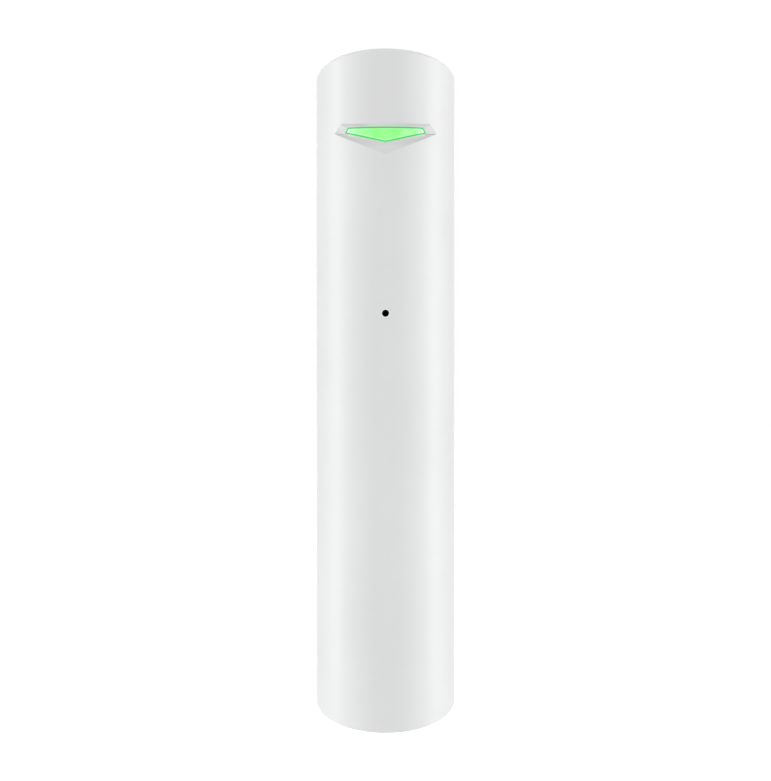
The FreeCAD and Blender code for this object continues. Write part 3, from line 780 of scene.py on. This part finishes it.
# One finish for each material slot of the record
finishes = {
    "white_shell": shellPlastic(),
    "bracket_plastic": bracketPlastic(),
    "green_lens": litLens(),
    "black_mesh": mouldedPlastic("blackMesh", (0.004, 0.004, 0.004), 0.8, 0.08 * mm, shine=0.05),
    "black_rubber": mouldedPlastic("blackRubber", (0.015, 0.015, 0.015), 0.65),
    "can_metal": canMetal(),
    "tinned_metal": drawnMetal("tinnedMetal", (0.52, 0.515, 0.50), 0.32),
    "board_laminate": boardLaminate(),
    "zinc_steel": zincSteel(),
    "led_resin": mouldedPlastic("ledResin", (0.80, 0.84, 0.72), 0.2),
    "chip_epoxy": chipEpoxy(),
    "chip_ceramic": mouldedPlastic("chipCeramic", (0.34, 0.23, 0.13), 0.4, drift=0.05),
    "gilt_metal": drawnMetal("giltMetal", (0.82, 0.62, 0.26), 0.3),
    "cell_wrap": cellWrap(),
    "nickel_strip": drawnMetal("nickelStrip", (0.70, 0.67, 0.62), 0.3),
    "white_button": mouldedPlastic("whiteButton", (0.78, 0.78, 0.77), 0.38),
    "grey_plunger": mouldedPlastic("greyPlunger", (0.26, 0.27, 0.28), 0.4),
    "switch_plastic": mouldedPlastic("switchPlastic", (0.02, 0.02, 0.02), 0.5),
    "terminal_plastic": mouldedPlastic("terminalPlastic", (0.03, 0.20, 0.08), 0.45),
}


def dressNodes():
    for part in frame["record"]["subparts"]:
        item = frame["nodes"][part["node"]]
        for place in item.material_slots:
            place.material = finishes[part["material_slot"]]


dressNodes()
print("finishes made:", len(finishes))


# Shells of points in mm. Each is a grid whose columns go round and close on themselves, and
# whose first and last rows are closed with a fan to their middle
def closedShell(points):
    rows, columns = points.shape[:2]
    index = np.arange(rows * columns).reshape(rows, columns)
    index = np.hstack([index, index[:, :1]])
    low, high = index[:-1], index[1:]
    quads = np.stack([low[:, :-1], low[:, 1:], high[:, 1:], high[:, :-1]], axis=-1).reshape(-1, 4)
    fans = []
    for row, centre in ((0, rows * columns), (rows - 1, rows * columns + 1)):
        ring = index[row]
        fans += np.stack([ring[:-1], ring[1:], np.full(columns, centre)], axis=-1).tolist()
    vertices = np.vstack([points.reshape(-1, 3), points[0].mean(0), points[-1].mean(0)])
    return vertices, quads.tolist() + fans


# A turned form about an axis along Y: each point of the profile (radius, y) becomes a ring
def turned(profile, x, z, columns=48):
    profile = np.array(profile, float)
    angle = np.linspace(0, 2 * np.pi, columns, endpoint=False)
    radius, level = profile[:, :1], profile[:, 1:]
    level = level + 0 * angle
    rings = np.stack([x + radius * np.cos(angle), level, z + radius * np.sin(angle)], axis=-1)
    return closedShell(rings)


# A block with soft edges: the sine and cosine of two angles are raised to a small power, with
# their signs kept, and stretched to the block's half sizes
def softBlock(centre, half, power=8.0, rows=13, columns=28):
    def squared(wave):
        return np.sign(wave) * np.abs(wave) ** (2 / power)

    rise = np.linspace(-np.pi / 2, np.pi / 2, rows + 2)[1:-1, None]
    turn = (np.arange(columns) + 0.5) * 2 * np.pi / columns
    across = squared(np.cos(rise))
    points = np.stack([
        half[0] * across * squared(np.cos(turn)),
        half[1] * across * squared(np.sin(turn)),
        half[2] * squared(np.sin(rise)) + 0 * turn,
    ], axis=-1)
    return closedShell(points + np.array(centre))


# Points of one piece that lie closer than this, in metres, become one
weld = 1e-7


# Joins shells into one piece that rides on a body and takes its finish from a slot. Edges bent
# by more degrees than the sharpness stay sharp
def makePiece(name, shells, body, slot, replaced=(), sharpness=35.0):
    vertices, faces, start = [], [], 0
    for points, shellFaces in shells:
        vertices.append(points * mm)
        faces += [[i + start for i in face] for face in shellFaces]
        start += len(points)
    mesh = bpy.data.meshes.new(name)
    mesh.from_pydata(np.vstack(vertices).tolist(), [], faces)
    work = bmesh.new()
    work.from_mesh(mesh)
    bmesh.ops.remove_doubles(work, verts=work.verts, dist=weld)
    bmesh.ops.dissolve_degenerate(work, edges=work.edges, dist=weld)
    bmesh.ops.recalc_face_normals(work, faces=work.faces)
    work.to_mesh(mesh)
    work.free()
    mesh.shade_smooth()
    mesh.set_sharp_from_angle(angle=math.radians(sharpness))
    mesh.materials.append(finishes[slot])
    piece = bpy.data.objects.new(name, mesh)
    scene.collection.objects.link(piece)
    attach(piece, body)
    if replaced:
        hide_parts(*replaced)


# How finely a screw is drawn: lengths in mm, the turn in radians, shares of a radius or of a
# reach. Pairs of columns stand close beside each corner of the recess
screwMesh = {
    "columns": 72,
    "cornerTurn": 0.01,
    "wallHalf": 0.015,
    "floorShares": (0.05, 0.4, 0.7, 1.0),
    "faceShares": (0.0, 0.25, 0.5, 0.75, 1.0),
    "underSlot": 0.02,
    "underShoulder": 0.01,
    "lowEdge": 0.06,
    "ringsPerPitch": 8,
    "tipShare": 0.6,
    "least": 1e-9,
}


# Distance from a screw's axis to the rim of its drive recess, for each angle: where a slot's
# sides or ends are met, and for a cross the greater one of two such slots
def recessRim(f, angle):
    cosine = np.abs(np.cos(angle)) + screwMesh["least"]
    sine = np.abs(np.sin(angle)) + screwMesh["least"]
    rim = np.minimum(f["driveReach"] / cosine, f["driveHalf"] / sine)
    if f["cross"]:
        rim = np.maximum(rim, np.minimum(f["driveReach"] / sine, f["driveHalf"] / cosine))
    return rim


# Angles of a screw's columns, with close pairs where the recess has its corners
def screwAngles(f):
    m = screwMesh
    corner = math.atan2(f["driveHalf"], min(f["driveReach"], f["headRadius"]))
    pairs = [corner - m["cornerTurn"], corner + m["cornerTurn"]]
    extra = [k * np.pi / 2 + side * turn for k in range(4) for side in (-1, 1) for turn in pairs]
    even = np.linspace(0, 2 * np.pi, m["columns"], endpoint=False)
    return np.unique(np.concatenate([even, np.mod(extra, 2 * np.pi)]))


# A screw about an axis along Y. From the middle of its head outwards, every ring is pushed in or
# out to the rim of the drive recess, so that the recess has upright walls; then rings run down
# the head and along the shank, whose radius swings between core and crest with a saw that
# shifts by one pitch a turn
def screwShell(f, x, z):
    m = screwMesh
    radius, depth, headLow = f["headRadius"], f["driveDepth"], -f["headHeight"]
    angle = screwAngles(f)
    even = 0 * angle
    rim = recessRim(f, angle)
    inner = np.minimum(rim - m["wallHalf"], radius)
    outer = np.minimum(rim + m["wallHalf"], radius)
    openEnd = rim + m["wallHalf"] >= radius
    rings = [(inner * share, even - depth) for share in m["floorShares"]]
    for share in m["faceShares"]:
        ring = outer + (radius - f["headEdge"] - outer).clip(0) * share
        dome = -f["headDome"] * (ring / radius) ** 2
        rings.append((np.where(openEnd, radius, ring), np.where(openEnd, -depth, dome)))
    shoulder = -f["headDome"] - f["headEdge"]
    rings.append((radius + even, np.where(openEnd, -depth, shoulder)))
    under = min(-depth - m["underSlot"], shoulder - m["underShoulder"])
    for level in (under, headLow + m["lowEdge"]):
        rings.append((radius + even, level + even))
    rings.append((radius - m["lowEdge"] + even, headLow + even))
    step = -f["pitch"] / m["ringsPerPitch"]
    levels = np.arange(headLow - m["underShoulder"], -f["length"] + f["tip"], step)
    saw = np.mod(levels[:, None] / f["pitch"] - angle / (2 * np.pi), 1.0)
    ridge = (1 - np.abs(2 * saw - 1)) * np.clip((levels[0] - levels[:, None]) / f["pitch"], 0, 1)
    for level, swing in zip(levels, ridge):
        rings.append((f["core"] + (f["crest"] - f["core"]) * swing, level + even))
    rings.append((f["core"] * m["tipShare"] + even, -f["length"] + even))
    reach = np.array([r for r, h in rings])
    level = f["faceY"] + f["outward"] * np.array([h for r, h in rings])
    points = np.stack([x + reach * np.cos(angle), level, z + reach * np.sin(angle)], axis=-1)
    return closedShell(points)


# Slotted screws in the wells of the terminal
terminalScrewFacts = {
    "headRadius": 1.28, "headHeight": 1.1, "headDome": 0.06, "headEdge": 0.08,
    "driveHalf": 0.24, "driveReach": 9.0, "driveDepth": 0.5, "cross": False,
    "core": 0.86, "crest": 1.1, "pitch": 0.4, "length": 2.9, "tip": 0.25,
    "faceY": -4.5, "outward": 1, "height": 7.6, "side": 1.75,
}


def addTerminalScrews():
    f = terminalScrewFacts
    for side, end in ((-1, "left"), (1, "right")):
        node = "terminal_screw_" + end
        shell = screwShell(f, side * f["side"], f["height"])
        makePiece("slottedScrew" + end.title(), [shell], node, "zinc_steel", [node])


# Cross-recess screws that hold the board on its bosses
boardScrewFacts = {
    "headRadius": 1.5, "headHeight": 0.9, "headDome": 0.22, "headEdge": 0.14,
    "driveHalf": 0.17, "driveReach": 0.8, "driveDepth": 0.5, "cross": True,
    "core": 0.60, "crest": 0.77, "pitch": 0.5, "length": 6.9, "tip": 0.5,
    "faceY": -13.4, "outward": -1, "places": ((-6.2, 0.5), (6.0, 38.7)),
}


def addBoardScrews():
    f = boardScrewFacts
    shells = [screwShell(f, x, z) for x, z in f["places"]]
    makePiece("boardScrews", shells, "sensor", "zinc_steel", ["board_screws"])


# Power button: a flanged pusher with a soft rim and a shallow dish in its face
buttonFacts = {
    "height": 17.0, "shaft": 1.0, "shaftEnd": -8.8, "shaftEdge": 0.1,
    "flange": 3.1, "flangeLow": -3.4, "flangeHigh": -2.6, "flangeEdge": 0.08,
    "head": 2.2, "face": -1.85, "edge": 0.22, "dish": 0.14, "dishRadius": 1.6,
}

# Tamper plunger: the same build, thinner, with a domed tip, which is a dish turned outwards
plungerFacts = {
    "height": 24.6, "shaft": 1.0, "shaftEnd": -8.8, "shaftEdge": 0.1,
    "flange": 2.15, "flangeLow": -3.4, "flangeHigh": -2.6, "flangeEdge": 0.08,
    "head": 1.25, "face": -1.55, "edge": 0.2, "dish": -0.12, "dishRadius": 1.05,
}

# Steps of a pusher's rounded rim, and the shares of its dish from the rim to the middle
rimSteps = 6
dishShares = (1.0, 0.85, 0.65, 0.45, 0.25, 0.08)


# The profile runs up the shaft, round the flange and the head's rounded rim, and over its face,
# which falls or rises towards the middle as a parabola
def pusher(f):
    bevel, low, high = f["flangeEdge"], f["flangeLow"], f["flangeHigh"]
    rim = f["face"] - max(-f["dish"], 0)
    profile = [
        (f["shaft"] - f["shaftEdge"], f["shaftEnd"]), (f["shaft"], f["shaftEnd"] + f["shaftEdge"]),
        (f["shaft"], low), (f["flange"] - bevel, low),
        (f["flange"], low + bevel), (f["flange"], high - bevel),
        (f["flange"] - bevel, high), (f["head"], high),
    ]
    for turn in np.linspace(0, np.pi / 2, rimSteps):
        reach = f["head"] - f["edge"] * (1 - math.cos(turn))
        profile.append((reach, rim - f["edge"] * (1 - math.sin(turn))))
    for share in dishShares:
        profile.append((f["dishRadius"] * share, rim - f["dish"] * (1 - share * share)))
    return turned(profile, 0.0, f["height"])


def addPushers():
    button, plunger = pusher(buttonFacts), pusher(plungerFacts)
    makePiece("powerButtonCap", [button], "power_button", "white_button", ["power_button"])
    makePiece("tamperPin", [plunger], "tamper", "grey_plunger", ["tamper_plunger"])


# Rows of ceramic chips on the board, with tinned caps on their ends. The bodies are inset, so
# that the caps stand proud of them
chipRowFacts = {
    "columns": (-5.6, -3.6, 3.6, 5.6), "rows": 3, "low": 19.0, "pitch": 2.2, "stagger": 0.4,
    "half": (0.4, 0.3, 0.8), "inset": (0.02, 0.02, 0.1), "cap": 0.24, "boardY": -12.5,
    "capRings": 9,
}


def addChips():
    f = chipRowFacts
    wide, deep, long = f["half"]
    bodyHalf = np.subtract(f["half"], f["inset"])
    capHalf = (wide, deep, f["cap"] / 2)
    middle = f["boardY"] - deep
    bodies, caps = [], []
    for column, x in enumerate(f["columns"]):
        for row in range(f["rows"]):
            z = f["low"] + f["pitch"] * row + f["stagger"] * column
            bodies.append(softBlock((x, middle, z), bodyHalf))
            for side in (-1, 1):
                place = (x, middle, z + side * (long - f["cap"] / 2))
                caps.append(softBlock(place, capHalf, rows=f["capRings"]))
    makePiece("chipBodies", bodies, "sensor", "chip_ceramic", ["chip_components"])
    makePiece("chipEnds", caps, "sensor", "tinned_metal")


# Tinned pads along the four sides of the controller
controllerFacts = {
    "height": 25.0, "half": 2.5, "pads": 7, "pitch": 0.65, "boardY": -12.5,
    "padHalf": 0.14, "padReach": 0.14, "padRise": 0.06, "rings": 7, "columns": 12,
}


def addControllerPads():
    f = controllerFacts
    level = f["boardY"] - f["padRise"]
    finely = {"rows": f["rings"], "columns": f["columns"]}
    tall = (f["padHalf"], f["padRise"], f["padReach"])
    wide = (f["padReach"], f["padRise"], f["padHalf"])
    pads = []
    for place in (np.arange(f["pads"]) - (f["pads"] - 1) / 2) * f["pitch"]:
        for side in (-1, 1):
            edge = side * f["half"]
            pads.append(softBlock((place, level, f["height"] + edge), tall, **finely))
            pads.append(softBlock((edge, level, f["height"] + place), wide, **finely))
    makePiece("controllerPads", pads, "sensor", "tinned_metal")


# Drawn cans over the crystal and over the radio
crystalFacts = {
    "centre": (0.0, -12.9, 19.6), "half": (1.6, 0.4, 0.75),
    "power": 6.0, "rows": 17, "columns": 40,
}
shieldFacts = {
    "centre": (0.0, -10.5, 32.85), "half": (6.0, 1.0, 3.35),
    "power": 14.0, "rows": 25, "columns": 60,
}


def addCans():
    crystal, shield = softBlock(**crystalFacts), softBlock(**shieldFacts)
    makePiece("crystalCan", [crystal], "sensor", "tinned_metal", ["crystal"])
    makePiece("shieldCan", [shield], "sensor", "can_metal", ["radio_shield"])


# Solder cones where leads and pins meet the board. From foot to top the width shrinks with a
# power of the height that is left, which hollows the sides
solderFacts = {
    "boardY": -12.5, "foot": 0.6, "top": 0.24, "height": 0.55, "hollow": 2.2, "rings": 8,
    "columns": 24,
    "places": ((-1.27, 10.15), (1.27, 10.15), (-1.75, 5.2), (1.75, 5.2), (-1.75, 8.8), (1.75, 8.8)),
}


def addSolder():
    f = solderFacts
    climb = np.linspace(0, 1, f["rings"])
    widths = f["top"] + (f["foot"] - f["top"]) * (1 - climb) ** f["hollow"]
    profile = list(zip(widths, f["boardY"] - f["height"] * climb))
    cones = [turned(profile, x, z, f["columns"]) for x, z in f["places"]]
    makePiece("solderCones", cones, "sensor", "tinned_metal")


# Woven screen over the pinhole: rings of points over its front, round the rim and over its
# back, lifted by the product of two sine waves across each other
screenFacts = {
    "height": 10.15, "radius": 1.78, "front": -19.29, "back": -19.17, "lift": 0.022,
    "thread": 0.16, "columns": 144, "rings": 44, "firstRing": 0.01, "sharpness": 80.0,
}


def addScreen():
    f = screenFacts
    angle = np.linspace(0, 2 * np.pi, f["columns"], endpoint=False)
    out = np.linspace(f["firstRing"], 1.0, f["rings"])
    radius = np.concatenate([out, out[::-1]])[:, None] * f["radius"]
    base = np.repeat([f["front"], f["back"]], f["rings"])[:, None]
    x, z = radius * np.cos(angle), radius * np.sin(angle)
    wave = np.sin(np.pi * x / f["thread"]) * np.sin(np.pi * z / f["thread"])
    shell = closedShell(np.stack([x, base + f["lift"] * wave, z + f["height"]], axis=-1))
    makePiece("wovenScreen", [shell], "sensor", "black_mesh", ["acoustic_mesh"], f["sharpness"])


addTerminalScrews()
addBoardScrews()
addPushers()
print("screws and pushers made")
addChips()
addControllerPads()
addCans()
addSolder()
addScreen()
print("board parts and screen made")

scene.view_settings.view_transform = "Standard"
